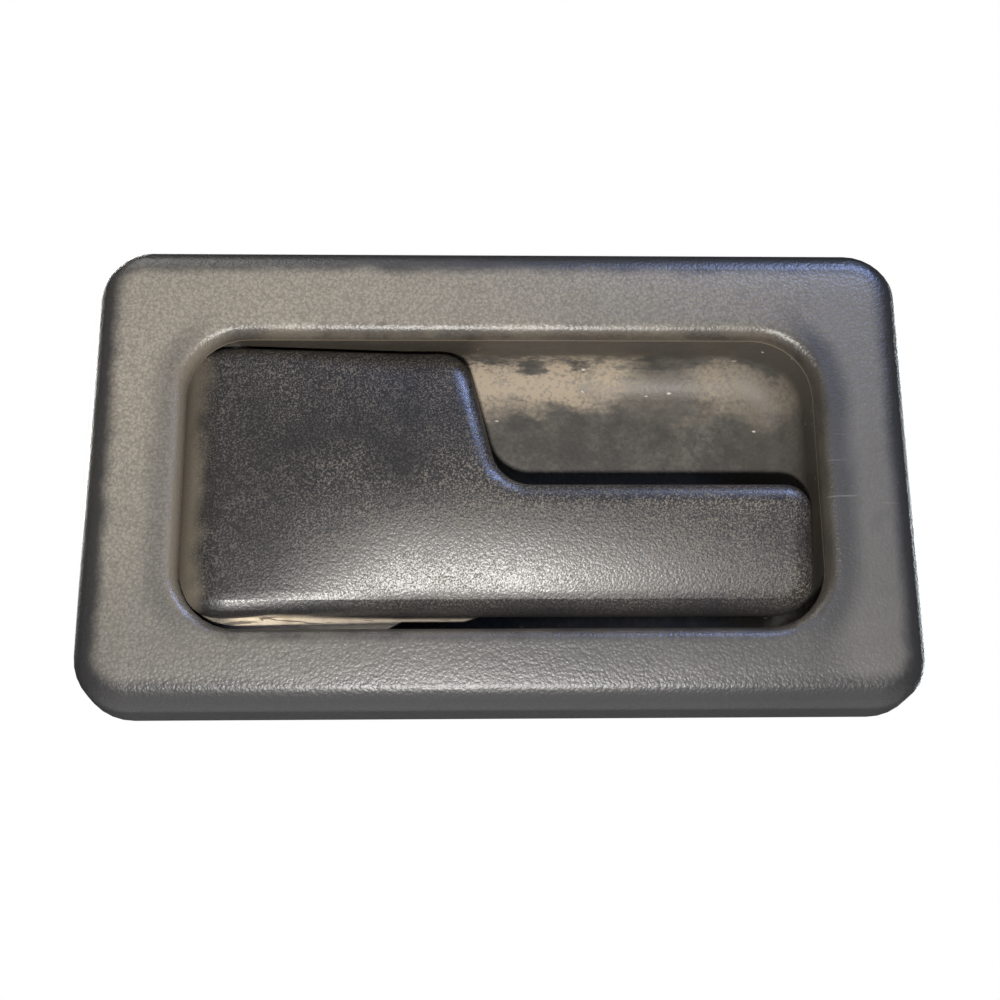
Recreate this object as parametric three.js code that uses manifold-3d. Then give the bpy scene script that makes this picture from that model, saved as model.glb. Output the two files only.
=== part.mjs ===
// Interior car door handle: a trim bezel around a finger cup, with a lever that swings out on an upright pin.
// Millimetres. X runs along the handle, Z is up, and the front faces -Y.
// The origin is level with the window's centre, in the plane of the bezel's rear rim,
// which bears on the door trim.
import * as THREE from "three";
import { mergeVertices } from "three/addons/utils/BufferGeometryUtils.js";
import Module from "manifold-3d";

const wasm = await Module();
wasm.setup();

// ---------------------------------------------------------------- driving dimensions
const GAP = 0.35; // clearance between pieces that touch on the real handle
const OVERCUT = 1; // a cutting tool runs on this far past what it cuts

const WINDOW_LENGTH = 94.4;
const WINDOW_HEIGHT = 44.6;
const BEZEL_DEPTH = 9; // front face to rear rim
const BEZEL_CORNER = 8.5;
const BEZEL_WALL = 2.2;
const BEZEL_DRAFT = 0.5; // the sides lean in by this much from the rim to the roll
const EDGE_ROLL = 3.4; // width and depth of the rounded outer edge
const BAND_SIDE = 14.8; // outer side to window, left and right
const BAND_TOP = 15;
const BAND_BOTTOM = 12.1;
const WINDOW_CORNER = 9;
const WINDOW_FLARE = 2.0; // the window opens by this much towards the front
const WINDOW_WALL_DEPTH = 2.75; // front face to the window's rear edge

const CUP_STEP = 0.7; // the cup's mouth is wider than the window by this much
const HINGE_POCKET = 2.3; // further room beyond the cup's mouth on the hinge side
const HINGE_POCKET_CORNER = 6;
const CUP_DEPTH = 17; // front face to the cup's floor
const CUP_WALL = 2.0;
const CUP_FILLET = 5.5; // where the cup's sides turn into its floor
const FLANGE_THICKNESS = 2.2;
const FLANGE_BACK = 3.0; // rear face of the flange, behind the rim
const GASKET_THICKNESS = 1.2;

const LEVER_RECESS = 2.6; // the lever's face sits behind the bezel's by this much
const LEVER_WALL = 2.2;
const LEVER_ROLL = 3.2; // width of the lever's rounded edge
const LEVER_ROLL_DEPTH = 2.2;
const LEVER_TOP_CLEARANCE = 0.6;
const LEVER_BOTTOM_CLEARANCE = 2.1;
const LEVER_END_CLEARANCE = 0.6;
const BLOCK_LENGTH = 38.6; // hinge axis to the middle of the slanted step
const STEP_LEAN = 0.24; // how far the step leans for each millimetre of height
const GRIP_HEIGHT = 20.2;
const GRIP_THICKNESS = 3.2;
const SKIRT_DEEP = 6.4; // the lever's face to the rear edge of its skirt, near the hinge
const SKIRT_SHALLOW = 4.4; // the same, beside the step
const SKIRT_STEP = 23.5; // hinge axis to the change between the two
const LIP_THICKNESS = 0.9; // the thin lip that fills the window below the lever's edge
const LIP_CLEARANCE = 0.45; // lip to window
const LIP_LOW = 0.7; // the lip's height where it is cut back
const LIP_FULL_END = 20.5; // hinge axis to the end of the full lip
const LIP_TAPER = 6;
const LIP_END = 3; // the lip runs out this far before the step
const CHEEK_WALL = 1.3; // round the pin's bore in the lever's two cheeks

const HUB_RADIUS = 7.5; // the lever's rolled end, centred on the hinge axis
const HINGE_INSET = 5.7; // window edge to hinge axis
const HINGE_SWING = 35; // degrees that the lever opens
const PIN_RADIUS = 2.0;
const PIN_HEAD_RADIUS = 3.3;
const PIN_HEAD_HEIGHT = 1.2;
const PIN_TAIL = 1.9; // how far the pin runs on past its retaining ring's seat
const BOSS_RADIUS = 4.6;
const BOSS_LENGTH = 4.5;
const RING_THICKNESS = 0.8;
const WASHER_RADIUS = 4.0;
const WASHER_SEAT = 0.6; // depth of the counterbore that each washer sits in

const CRANK_THICKNESS = 2.0;
const CRANK_WIDTH = 7;
const CRANK_REACH = 17.5; // hinge axis to the rod's eye
const CRANK_LEVEL = 10; // height of the crank plate's middle
const CRANK_FOOT = 5.2; // width of the plate's foot, which lies along the lever's web
const CRANK_TAIL = 20; // length of the foot
const CRANK_SLOT_CLEARANCE = 1; // round the arm, in the slot through the cup's floor
const RIVET_RADIUS = 1.2;
const RIVET_HEAD_RADIUS = 2.1;
const RIVET_HEAD_HEIGHT = 0.9;
const WEB_THICKNESS = 3.0;
const WEB_START = 6.5; // hinge axis to the web's near end
const EYE_RADIUS = 2.2;
const ROD_RADIUS = 1.6; // the latch rod that the clip holds
const CLIP_LENGTH = 12;
const CLIP_COLLAR_RADIUS = 3.7;

const SPRING_WIRE = 1.2;
const SPRING_TURNS = 5;
const SPRING_PITCH = 1.6;
const SPRING_LEVEL = -9; // height of the lowest turn
const SPRING_LEG = 9;

const BUFFER_RADIUS = 3.2;
const BUFFER_HEIGHT = 3.6;
const BUFFER_POST_RADIUS = 2.4;
const STOP_BUFFER_RADIUS = 2.5;
const STOP_POST_RADIUS = 1.1;
const STOP_LENGTH = 5; // both the post and its sleeve

const SCREW_RADIUS = 1.5;
const SCREW_HEAD_RADIUS = 2.9;
const SCREW_HEAD_HEIGHT = 2.2;
const SCREW_RECESS = 1.3; // depth of the cross in the head
const SCREW_LENGTH = 15;
const SCREW_LEFT = -24;
const SCREW_RIGHT = 40;
const NUT_SHOULDER = 0.5; // how far the nut's collar stands out past its body
const NUT_LENGTH = 9;

const TAB_THICKNESS = 1.8;
const TAB_WIDTH = 8;
const TAB_REACH = 7.5; // behind the rim
const TAB_EDGE = 6; // bezel's outer side to the tab's middle
const TAB_LEVEL = 13;
const CLIP_SHEET = 0.7;
const CLIP_BARB = 0.5;

const CORNER_STEPS = 8;
const ROLL_STEPS = 6;
const ROUND_SIDES = 24;
const SMALL_SIDES = 12;

// ---------------------------------------------------------------- places worked out from them
const faceY = -BEZEL_DEPTH;
const seamY = faceY + WINDOW_WALL_DEPTH;
const mouthY = seamY + GAP;
const floorY = faceY + CUP_DEPTH;
const flangeFrontY = FLANGE_BACK - FLANGE_THICKNESS;
const gasketY = FLANGE_BACK + GAP;
const panelY = gasketY + GASKET_THICKNESS; // the door's inner sheet
const windowX = WINDOW_LENGTH / 2;
const windowZ = WINDOW_HEIGHT / 2;
const bezelX = windowX + BAND_SIDE;
const bezelTop = windowZ + BAND_TOP;
const bezelBottom = -windowZ - BAND_BOTTOM;
const levelZ = Math.min(bezelTop, -bezelBottom); // the flange and screws are level with the narrower band
const cupLeft = -windowX - CUP_STEP - HINGE_POCKET;
const cupRight = windowX + CUP_STEP;
const cupZ = windowZ + CUP_STEP;
const flangeX = bezelX - BEZEL_WALL - 2 * GAP;
const flangeZ = levelZ - BEZEL_WALL - 2 * GAP;
const leverFaceY = faceY + LEVER_RECESS;
const leverTop = windowZ - LEVER_TOP_CLEARANCE;
const leverBottom = -windowZ + LEVER_BOTTOM_CLEARANCE;
const leverRight = windowX - LEVER_END_CLEARANCE;
const hinge = { x: -windowX + HINGE_INSET, y: leverFaceY + HUB_RADIUS };
const leverLeft = hinge.x - HUB_RADIUS;
const gripTop = leverBottom + GRIP_HEIGHT;
const stepX = hinge.x + BLOCK_LENGTH;
const boreRadius = PIN_RADIUS + GAP;
const hubRoom = HUB_RADIUS - LEVER_WALL - GAP; // radius that pieces inside the hub may fill
const springRadius = hubRoom - SPRING_WIRE / 2;
const bossTop = cupZ + BOSS_LENGTH;
const eye = { x: hinge.x, y: hinge.y + CRANK_REACH };
const crankLow = CRANK_LEVEL - CRANK_THICKNESS / 2;
const crankHigh = CRANK_LEVEL + CRANK_THICKNESS / 2;
const webHigh = crankLow - GAP;
const webLow = webHigh - WEB_THICKNESS;
const screwZ = levelZ - BEZEL_DRAFT - BEZEL_WALL - GAP - SCREW_HEAD_RADIUS;
const nutCollar = screwZ - cupZ - CUP_WALL - GAP; // half the collar's width
const screwPlaces = [SCREW_LEFT, SCREW_RIGHT].flatMap((x) => [
  [x, screwZ],
  [x, -screwZ],
]);
const tabX = bezelX - TAB_EDGE;
const tabPlaces = [-tabX, tabX].flatMap((x) => [
  [x, TAB_LEVEL],
  [x, -TAB_LEVEL],
]);

// ---------------------------------------------------------------- outlines in the XZ plane
// A corner is [x, z, radius], and corners run anticlockwise.
const rectangle = (left, right, bottom, top, radius) => [
  [left, bottom, radius],
  [right, bottom, radius],
  [right, top, radius],
  [left, top, radius],
];

// The same corners with every side moved in. Outer corners tighten and inner corners open.
function insetCorners(corners, inset) {
  return corners.map(([x, z, radius], i) => {
    const before = corners.at(i - 1);
    const after = corners[(i + 1) % corners.length];
    const a = new THREE.Vector2(x - before[0], z - before[1]).normalize();
    const b = new THREE.Vector2(after[0] - x, after[1] - z).normalize();
    const turn = a.cross(b);
    const shift = inset / (1 + a.dot(b));
    const moved = [x - (a.y + b.y) * shift, z + (a.x + b.x) * shift];
    return [...moved, Math.max(0.3, radius - Math.sign(turn) * inset)];
  });
}

// The points of an outline, each corner a true arc that never takes more than its share of a side.
function outline(corners, steps = CORNER_STEPS) {
  return corners.flatMap(([x, z, radius], i) => {
    const corner = new THREE.Vector2(x, z);
    const before = new THREE.Vector2(...corners.at(i - 1)).sub(corner);
    const after = new THREE.Vector2(...corners[(i + 1) % corners.length]).sub(corner);
    const half = Math.acos(before.clone().normalize().dot(after.clone().normalize())) / 2;
    const reach = Math.min(radius / Math.tan(half), 0.49 * before.length(), 0.49 * after.length());
    const start = corner.clone().addScaledVector(before.normalize(), reach);
    const end = corner.clone().addScaledVector(after.normalize(), reach);
    const centre = before.add(after).normalize().multiplyScalar(reach / Math.cos(half)).add(corner);
    const from = start.clone().sub(centre);
    const sweep = Math.atan2(from.cross(end.clone().sub(centre)), from.dot(end.clone().sub(centre)));
    return Array.from({ length: steps + 1 }, (_, k) =>
      from.clone().rotateAround(new THREE.Vector2(), (sweep * k) / steps).add(centre),
    );
  });
}

const ring = (corners, y) => outline(corners).map((p) => new THREE.Vector3(p.x, y, p.y));

// ---------------------------------------------------------------- solids
function solid(geometry) {
  const plain = geometry.index ? geometry.toNonIndexed() : geometry.clone();
  plain.deleteAttribute("normal");
  plain.deleteAttribute("uv");
  const merged = mergeVertices(plain, 1e-4);
  const vertProperties = merged.attributes.position.array;
  const made = new wasm.Manifold(
    new wasm.Mesh({ numProp: 3, vertProperties, triVerts: new Uint32Array(merged.index.array) }),
  );
  if (made.volume() >= 0) return made;
  const turned = new Uint32Array(merged.index.array).reverse();
  return new wasm.Manifold(new wasm.Mesh({ numProp: 3, vertProperties, triVerts: turned }));
}

// A closed skin through rings of equal point count, with a flat cap at each end.
function loft(rings) {
  const count = rings[0].length;
  const positions = rings.flat().flatMap((p) => p.toArray());
  const faces = [];
  for (let r = 0; r + 1 < rings.length; r++) {
    for (let i = 0; i < count; i++) {
      const [a, b] = [r * count + i, r * count + ((i + 1) % count)];
      faces.push(a, b, a + count, b, b + count, a + count);
    }
  }
  const flat = rings[0].map((p) => new THREE.Vector2(p.x, p.z));
  const lastFlat = rings.at(-1).map((p) => new THREE.Vector2(p.x, p.z));
  const last = (rings.length - 1) * count;
  for (const [a, b, c] of THREE.ShapeUtils.triangulateShape(flat, [])) faces.push(c, b, a);
  for (const [a, b, c] of THREE.ShapeUtils.triangulateShape(lastFlat, [])) {
    faces.push(last + a, last + b, last + c);
  }
  const geometry = new THREE.BufferGeometry();
  geometry.setAttribute("position", new THREE.Float32BufferAttribute(positions, 3));
  geometry.setIndex(faces);
  return solid(geometry);
}

const prism = (corners, y0, y1) => loft([ring(corners, y0), ring(corners, y1)]);

// Rings for a front edge that rolls from a flat face at y into a side that runs on to yBack.
function rolledRings(corners, y, width, depth, yBack, backInset = 0) {
  const rings = Array.from({ length: ROLL_STEPS + 1 }, (_, k) => {
    const angle = (k / ROLL_STEPS) * (Math.PI / 2);
    return ring(insetCorners(corners, width * (1 - Math.sin(angle))), y + depth * (1 - Math.cos(angle)));
  });
  return [...rings, ring(insetCorners(corners, backInset), yBack)];
}

function box(x0, x1, y0, y1, z0, z1) {
  const geometry = new THREE.BoxGeometry(x1 - x0, y1 - y0, z1 - z0);
  return solid(geometry.translate((x0 + x1) / 2, (y0 + y1) / 2, (z0 + z1) / 2));
}

function uprightCylinder(radius, x, y, z0, z1, sides = ROUND_SIDES) {
  const geometry = new THREE.CylinderGeometry(radius, radius, z1 - z0, sides).rotateX(Math.PI / 2);
  return solid(geometry.translate(x, y, (z0 + z1) / 2));
}

function depthCylinder(radius, x, z, y0, y1, sides = ROUND_SIDES) {
  const geometry = new THREE.CylinderGeometry(radius, radius, y1 - y0, sides);
  return solid(geometry.translate(x, (y0 + y1) / 2, z));
}

// A plate whose outline is drawn in the XY plane, with holes, standing from z0 to z1.
function plate(shape, z0, z1, curveSegments = SMALL_SIDES) {
  const settings = { depth: z1 - z0, bevelEnabled: false, curveSegments };
  return solid(new THREE.ExtrudeGeometry(shape, settings).translate(0, 0, z0));
}

const union = (...parts) => parts.reduce((a, b) => a.add(b));
const cut = (body, ...tools) => tools.reduce((a, b) => a.subtract(b), body);

// ---------------------------------------------------------------- finishes
const finish = (color, roughness, metalness = 0) =>
  new THREE.MeshStandardMaterial({ color, roughness, metalness });
const materials = {
  trim: finish(0x4a4844, 0.5),
  cup: finish(0x55504a, 0.6),
  lever: finish(0x35343a, 0.45),
  nylon: finish(0xd8d3c4, 0.5),
  rubber: finish(0x1c1c1c, 0.9),
  foam: finish(0x2a2a2c, 0.95),
  zinc: finish(0xa9a68f, 0.4, 0.9),
  steel: finish(0x8b8d90, 0.3, 1),
};

const handle = new THREE.Group();
const lever = new THREE.Group();
handle.add(lever);

// A manifold solid as a named mesh, with its origin moved to `at` so that the mesh carries its own place.
function piece(group, name, body, material, at = [0, 0, 0]) {
  const local = body.translate(-at[0], -at[1], -at[2]);
  const mesh = local.getMesh();
  const geometry = new THREE.BufferGeometry();
  geometry.setAttribute("position", new THREE.Float32BufferAttribute(mesh.vertProperties, 3));
  geometry.setIndex(new THREE.BufferAttribute(mesh.triVerts, 1));
  geometry.computeVertexNormals();
  const made = new THREE.Mesh(geometry, material);
  made.name = name;
  made.position.set(...at);
  group.add(made);
}

// ---------------------------------------------------------------- bezel
const bezelCorners = rectangle(-bezelX, bezelX, bezelBottom, bezelTop, BEZEL_CORNER);
const windowCorners = rectangle(-windowX, windowX, -windowZ, windowZ, WINDOW_CORNER);

// The window, flared towards the front in a quarter round.
function windowCutter() {
  const rings = Array.from({ length: ROLL_STEPS + 1 }, (_, k) => {
    const angle = (k / ROLL_STEPS) * (Math.PI / 2);
    const flare = WINDOW_FLARE * (1 - Math.sin(angle));
    const depth = WINDOW_WALL_DEPTH * 0.8 * (1 - Math.cos(angle));
    return ring(insetCorners(windowCorners, -flare), faceY + depth);
  });
  const front = ring(insetCorners(windowCorners, -WINDOW_FLARE - 0.2), faceY - OVERCUT);
  return loft([front, ...rings, ring(windowCorners, seamY + OVERCUT)]);
}

function makeBezel() {
  const drafted = insetCorners(bezelCorners, BEZEL_DRAFT);
  const outer = loft(rolledRings(drafted, faceY, EDGE_ROLL, EDGE_ROLL, 0, -BEZEL_DRAFT));
  const innerFaceY = faceY + BEZEL_WALL;
  const hollow = loft(
    rolledRings(insetCorners(drafted, BEZEL_WALL), innerFaceY, EDGE_ROLL - 1, EDGE_ROLL - 1, 1, -BEZEL_DRAFT),
  );
  const sleeve = prism(insetCorners(windowCorners, -BEZEL_WALL), innerFaceY - 1, seamY);
  const tabs = tabPlaces.map(([x, z]) =>
    box(
      x - TAB_THICKNESS / 2,
      x + TAB_THICKNESS / 2,
      innerFaceY - 1,
      TAB_REACH,
      z - TAB_WIDTH / 2,
      z + TAB_WIDTH / 2,
    ),
  );
  return cut(union(outer.subtract(hollow), sleeve, ...tabs), windowCutter());
}
piece(handle, "bezel", makeBezel(), materials.trim);

// A spring-steel U that is pushed over a bezel tab and catches behind the flange.
function makeBezelClip([x, z]) {
  const inner = TAB_THICKNESS / 2 + GAP;
  const outer = inner + CLIP_SHEET;
  const barb = outer + CLIP_BARB;
  const endInner = TAB_REACH + GAP;
  const end = endInner + CLIP_SHEET;
  const barbFront = FLANGE_BACK + GAP;
  const right = [
    [inner, -0.5],
    [outer, -0.5],
    [outer, barbFront],
    [barb, barbFront],
    [outer, barbFront + 3],
    [outer, end],
  ];
  const mirrored = right.map(([u, v]) => [-u, v]).reverse();
  const points = [...right, ...mirrored, [-inner, endInner], [inner, endInner]];
  const shape = new THREE.Shape(points.map(([u, v]) => new THREE.Vector2(x + u, v)));
  const width = TAB_WIDTH - 1;
  return plate(shape, z - width / 2, z + width / 2);
}
tabPlaces.forEach((place, i) =>
  piece(handle, `bezel_clip_${i + 1}`, makeBezelClip(place), materials.steel, [place[0], 0, place[1]]),
);

// ---------------------------------------------------------------- housing with the finger cup
const cupCorners = [
  [cupLeft, -cupZ, HINGE_POCKET_CORNER],
  [cupRight, -cupZ, WINDOW_CORNER + CUP_STEP],
  [cupRight, cupZ, WINDOW_CORNER + CUP_STEP],
  [cupLeft, cupZ, HINGE_POCKET_CORNER],
];

function cupRings(inset, y0, y1, fillet) {
  const corners = insetCorners(cupCorners, inset);
  const rings = [ring(corners, y0)];
  for (let k = 0; k <= ROLL_STEPS; k++) {
    const angle = (k / ROLL_STEPS) * (Math.PI / 2);
    const turned = insetCorners(corners, fillet * (1 - Math.cos(angle)));
    rings.push(ring(turned, y1 - fillet * (1 - Math.sin(angle))));
  }
  return rings;
}

const stopPost = { x: hinge.x + 15.7, y: floorY + CUP_WALL };
const restPost = { x: stepX - 8, z: gripTop + 7 };
const restFaceY = leverFaceY + SKIRT_SHALLOW + GAP;

function makeHousing() {
  const shell = loft(cupRings(-CUP_WALL, mouthY, floorY + CUP_WALL, CUP_FILLET + CUP_WALL));
  const flange = prism(
    rectangle(-flangeX, flangeX, -flangeZ, flangeZ, BEZEL_CORNER - BEZEL_WALL),
    flangeFrontY,
    FLANGE_BACK,
  );
  const boss = (z0, z1) => uprightCylinder(BOSS_RADIUS, hinge.x, hinge.y, z0, z1);
  const body = union(shell, flange, boss(cupZ, bossTop), boss(-bossTop, -cupZ));

  const hollow = loft([ring(cupCorners, mouthY - 6), ...cupRings(0, mouthY, floorY, CUP_FILLET)]);
  const seats = uprightCylinder(
    WASHER_RADIUS + GAP,
    hinge.x,
    hinge.y,
    -cupZ - WASHER_SEAT,
    cupZ + WASHER_SEAT,
  );
  const bore = uprightCylinder(boreRadius, hinge.x, hinge.y, -bossTop - OVERCUT, bossTop + OVERCUT);
  const swing = Math.sin(THREE.MathUtils.degToRad(HINGE_SWING)) * (CRANK_REACH + CRANK_WIDTH / 2);
  const crankSlot = box(
    hinge.x - CRANK_WIDTH / 2 - 1.5 * CRANK_SLOT_CLEARANCE,
    hinge.x + swing + CRANK_WIDTH / 2,
    floorY - CUP_FILLET,
    floorY + 6,
    crankLow - CRANK_SLOT_CLEARANCE,
    crankHigh + CRANK_SLOT_CLEARANCE,
  );
  const flangePast = FLANGE_BACK + OVERCUT;
  const holes = screwPlaces.map(([x, z]) => depthCylinder(SCREW_RADIUS + 0.5, x, z, -OVERCUT, flangePast));
  const slotX = TAB_THICKNESS / 2 + CLIP_SHEET + 2 * GAP;
  const slotZ = TAB_WIDTH / 2 + 2 * GAP;
  const slots = tabPlaces.map(([x, z]) =>
    box(x - slotX, x + slotX, -OVERCUT, flangePast, z - slotZ, z + slotZ),
  );
  const notchX = PIN_HEAD_RADIUS + 0.3 + 2 * GAP;
  const pinRoom = (z0, z1) => box(hinge.x - notchX, hinge.x + notchX, -OVERCUT, flangePast, z0, z1);
  const notches = [pinRoom(bossTop, flangeZ + OVERCUT), pinRoom(-flangeZ - OVERCUT, -bossTop)];
  const open = cut(body, hollow, seats, bore, crankSlot, ...holes, ...slots, ...notches);

  const post = depthCylinder(
    BUFFER_POST_RADIUS,
    restPost.x,
    restPost.z,
    restFaceY + BUFFER_HEIGHT + GAP,
    floorY + 0.5,
    SMALL_SIDES,
  );
  const stopBase = box(
    stopPost.x - 4,
    stopPost.x + 4,
    stopPost.y - 0.5,
    stopPost.y + STOP_BUFFER_RADIUS + 2,
    crankHigh + 2,
    crankHigh + 4,
  );
  const stopPin = uprightCylinder(
    STOP_POST_RADIUS,
    stopPost.x,
    stopPost.y + STOP_BUFFER_RADIUS,
    crankHigh + 2 - STOP_LENGTH,
    crankHigh + 3,
    SMALL_SIDES,
  );
  return union(open, post, stopBase, stopPin);
}
piece(handle, "housing", makeHousing(), materials.cup);

// ---------------------------------------------------------------- rubber buffers
const restBuffer = depthCylinder(
  BUFFER_RADIUS,
  restPost.x,
  restPost.z,
  restFaceY,
  restFaceY + BUFFER_HEIGHT,
  SMALL_SIDES,
);
piece(handle, "rest_buffer", restBuffer, materials.rubber, [restPost.x, restFaceY, restPost.z]);

function makeStopBuffer() {
  const [x, y] = [stopPost.x, stopPost.y + STOP_BUFFER_RADIUS];
  const z1 = crankHigh + 2 - GAP;
  const z0 = crankHigh + 2 - STOP_LENGTH;
  const sleeve = uprightCylinder(STOP_BUFFER_RADIUS, x, y, z0, z1, SMALL_SIDES);
  const [low, high] = [z0 - OVERCUT, z1 + OVERCUT];
  return sleeve.subtract(uprightCylinder(STOP_POST_RADIUS + GAP, x, y, low, high, SMALL_SIDES));
}
const stopPlace = [stopPost.x, stopPost.y, CRANK_LEVEL];
piece(handle, "open_stop_buffer", makeStopBuffer(), materials.rubber, stopPlace);

// ---------------------------------------------------------------- fixing to the door
function makeScrew([x, z]) {
  const headBack = flangeFrontY - GAP;
  const headFront = headBack - SCREW_HEAD_HEIGHT;
  const profile = [
    [0, 0],
    [SCREW_HEAD_RADIUS * 0.62, 0],
    [SCREW_HEAD_RADIUS * 0.9, 0.5],
    [SCREW_HEAD_RADIUS, 1.2],
    [SCREW_HEAD_RADIUS, SCREW_HEAD_HEIGHT],
    [SCREW_RADIUS, SCREW_HEAD_HEIGHT],
    [SCREW_RADIUS, SCREW_HEAD_HEIGHT + SCREW_LENGTH - 2],
    [0, SCREW_HEAD_HEIGHT + SCREW_LENGTH],
  ].map(([r, along]) => new THREE.Vector2(r, along));
  const body = solid(new THREE.LatheGeometry(profile, SMALL_SIDES).translate(x, headFront, z));
  const blade = 0.5;
  const reach = SCREW_HEAD_RADIUS * 0.55;
  const recess = headFront + SCREW_RECESS;
  const across = box(x - reach, x + reach, headFront - OVERCUT, recess, z - blade, z + blade);
  const upright = box(x - blade, x + blade, headFront - OVERCUT, recess, z - reach, z + reach);
  return cut(body, across, upright);
}

// A square plastic nut that snaps into the door's inner sheet and takes the screw.
function makeGrommetNut([x, z]) {
  const square = (half, y0, y1) => box(x - half, x + half, y0, y1, z - half, z + half);
  const body = union(
    square(nutCollar, gasketY, panelY),
    square(nutCollar - NUT_SHOULDER, panelY - 0.2, panelY + NUT_LENGTH),
  );
  return body.subtract(depthCylinder(SCREW_RADIUS + GAP, x, z, 0, panelY + NUT_LENGTH + OVERCUT, SMALL_SIDES));
}
screwPlaces.forEach((place, i) => {
  const at = [place[0], flangeFrontY, place[1]];
  piece(handle, `housing_screw_${i + 1}`, makeScrew(place), materials.zinc, at);
  piece(handle, `grommet_nut_${i + 1}`, makeGrommetNut(place), materials.nylon, at);
});

function makeGasket() {
  const edge = 2 * GAP;
  const outer = rectangle(-flangeX + edge, flangeX - edge, -flangeZ + edge, flangeZ - edge, BEZEL_CORNER / 2);
  const room = CUP_WALL + 2 * GAP;
  const around = insetCorners(cupCorners, -room);
  const bosses = BOSS_RADIUS + 2 * GAP;
  const [front, back] = [gasketY - OVERCUT, panelY + OVERCUT];
  const bossGap = box(hinge.x - bosses, hinge.x + bosses, front, back, -flangeZ, flangeZ);
  const collar = nutCollar + GAP;
  const nuts = screwPlaces.map(([x, z]) => box(x - collar, x + collar, front, back, z - collar, z + collar));
  const clipX = TAB_THICKNESS / 2 + CLIP_SHEET + CLIP_BARB + 2 * GAP;
  const clipZ = TAB_WIDTH / 2 + 2 * GAP;
  const clips = tabPlaces.map(([x, z]) => box(x - clipX, x + clipX, front, back, z - clipZ, z + clipZ));
  const flat = prism(outer, gasketY, panelY);
  return cut(flat, prism(around, front, back), bossGap, ...nuts, ...clips);
}
const gasketParts = makeGasket()
  .decompose()
  .sort((a, b) => a.boundingBox().min[0] - b.boundingBox().min[0]);
gasketParts.forEach((part, i) => piece(handle, `foam_strip_${i + 1}`, part, materials.foam));

// ---------------------------------------------------------------- hinge pin, ring and washers
const ringSeat = -bossTop - GAP;

function makePin() {
  const bottom = ringSeat - RING_THICKNESS - 2 * GAP - PIN_TAIL;
  const shaft = uprightCylinder(PIN_RADIUS, hinge.x, hinge.y, bottom, bossTop + GAP + 0.1);
  const headZ = bossTop + GAP;
  const head = uprightCylinder(PIN_HEAD_RADIUS, hinge.x, hinge.y, headZ, headZ + PIN_HEAD_HEIGHT);
  const [low, high] = [ringSeat - RING_THICKNESS - GAP, ringSeat + GAP];
  const around = uprightCylinder(PIN_RADIUS + 1, hinge.x, hinge.y, low, high);
  const neck = uprightCylinder(PIN_RADIUS * 0.7, hinge.x, hinge.y, low - OVERCUT, high + OVERCUT);
  const groove = around.subtract(neck);
  return union(shaft, head).subtract(groove);
}
piece(handle, "hinge_pin", makePin(), materials.steel, [hinge.x, hinge.y, 0]);

function makeRetainingRing() {
  const low = ringSeat - RING_THICKNESS;
  const disc = uprightCylinder(PIN_HEAD_RADIUS + 0.3, hinge.x, hinge.y, low, ringSeat);
  const [holeLow, holeHigh] = [low - OVERCUT, ringSeat + OVERCUT];
  const hole = uprightCylinder(PIN_RADIUS * 0.7 + GAP, hinge.x, hinge.y, holeLow, holeHigh);
  const mouth = PIN_RADIUS * 0.7;
  const opening = box(hinge.x - mouth, hinge.x + mouth, hinge.y - 9, hinge.y, holeLow, holeHigh);
  return cut(disc, hole, opening);
}
piece(handle, "retaining_ring", makeRetainingRing(), materials.steel, [hinge.x, hinge.y, ringSeat]);

function makeWasher(z0, z1) {
  const disc = uprightCylinder(WASHER_RADIUS, hinge.x, hinge.y, z0, z1);
  return disc.subtract(uprightCylinder(boreRadius, hinge.x, hinge.y, z0 - OVERCUT, z1 + OVERCUT));
}
const seatZ = cupZ + WASHER_SEAT - GAP;
piece(handle, "upper_washer", makeWasher(leverTop + GAP, seatZ), materials.nylon, [
  hinge.x,
  hinge.y,
  leverTop,
]);
piece(handle, "lower_washer", makeWasher(-seatZ, leverBottom - GAP), materials.nylon, [
  hinge.x,
  hinge.y,
  leverBottom,
]);

// ---------------------------------------------------------------- return spring
// The coil runs round the pin. Its lower leg leans towards the cup's floor,
// and its upper leg lies behind the lever's face.
function springPoints() {
  const perTurn = 14;
  const count = Math.round((SPRING_TURNS - 0.5) * perTurn);
  const coil = Array.from({ length: count + 1 }, (_, k) => {
    const angle = Math.PI / 2 + (k / perTurn) * 2 * Math.PI;
    return new THREE.Vector3(
      hinge.x + springRadius * Math.cos(angle),
      hinge.y + springRadius * Math.sin(angle),
      SPRING_LEVEL + (k / perTurn) * SPRING_PITCH,
    );
  });
  const steps = [1 / 3, 2 / 3, 1];
  const lower = steps.map((step) => coil[0].clone().add(new THREE.Vector3(step * SPRING_LEG, 0, 0)));
  const upper = steps.map((step) => coil.at(-1).clone().add(new THREE.Vector3(step * SPRING_LEG, 0, 0)));
  return [...lower.reverse(), ...coil, ...upper];
}

function makeSpring() {
  const curve = new THREE.CatmullRomCurve3(springPoints());
  const section = new THREE.Shape();
  section.absarc(0, 0, SPRING_WIRE / 2, 0, 2 * Math.PI);
  const settings = { steps: 110, extrudePath: curve, curveSegments: 3, bevelEnabled: false };
  return solid(new THREE.ExtrudeGeometry(section, settings));
}

// ---------------------------------------------------------------- lever
const lean = ((leverTop - gripTop) / 2) * STEP_LEAN;
const leverCorners = [
  [leverLeft, leverBottom, 8],
  [leverRight, leverBottom, 5.5],
  [leverRight, gripTop, 4.2],
  [stepX + lean, gripTop, 6],
  [stepX - lean, leverTop, 5],
  [leverLeft, leverTop, 8],
];

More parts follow.
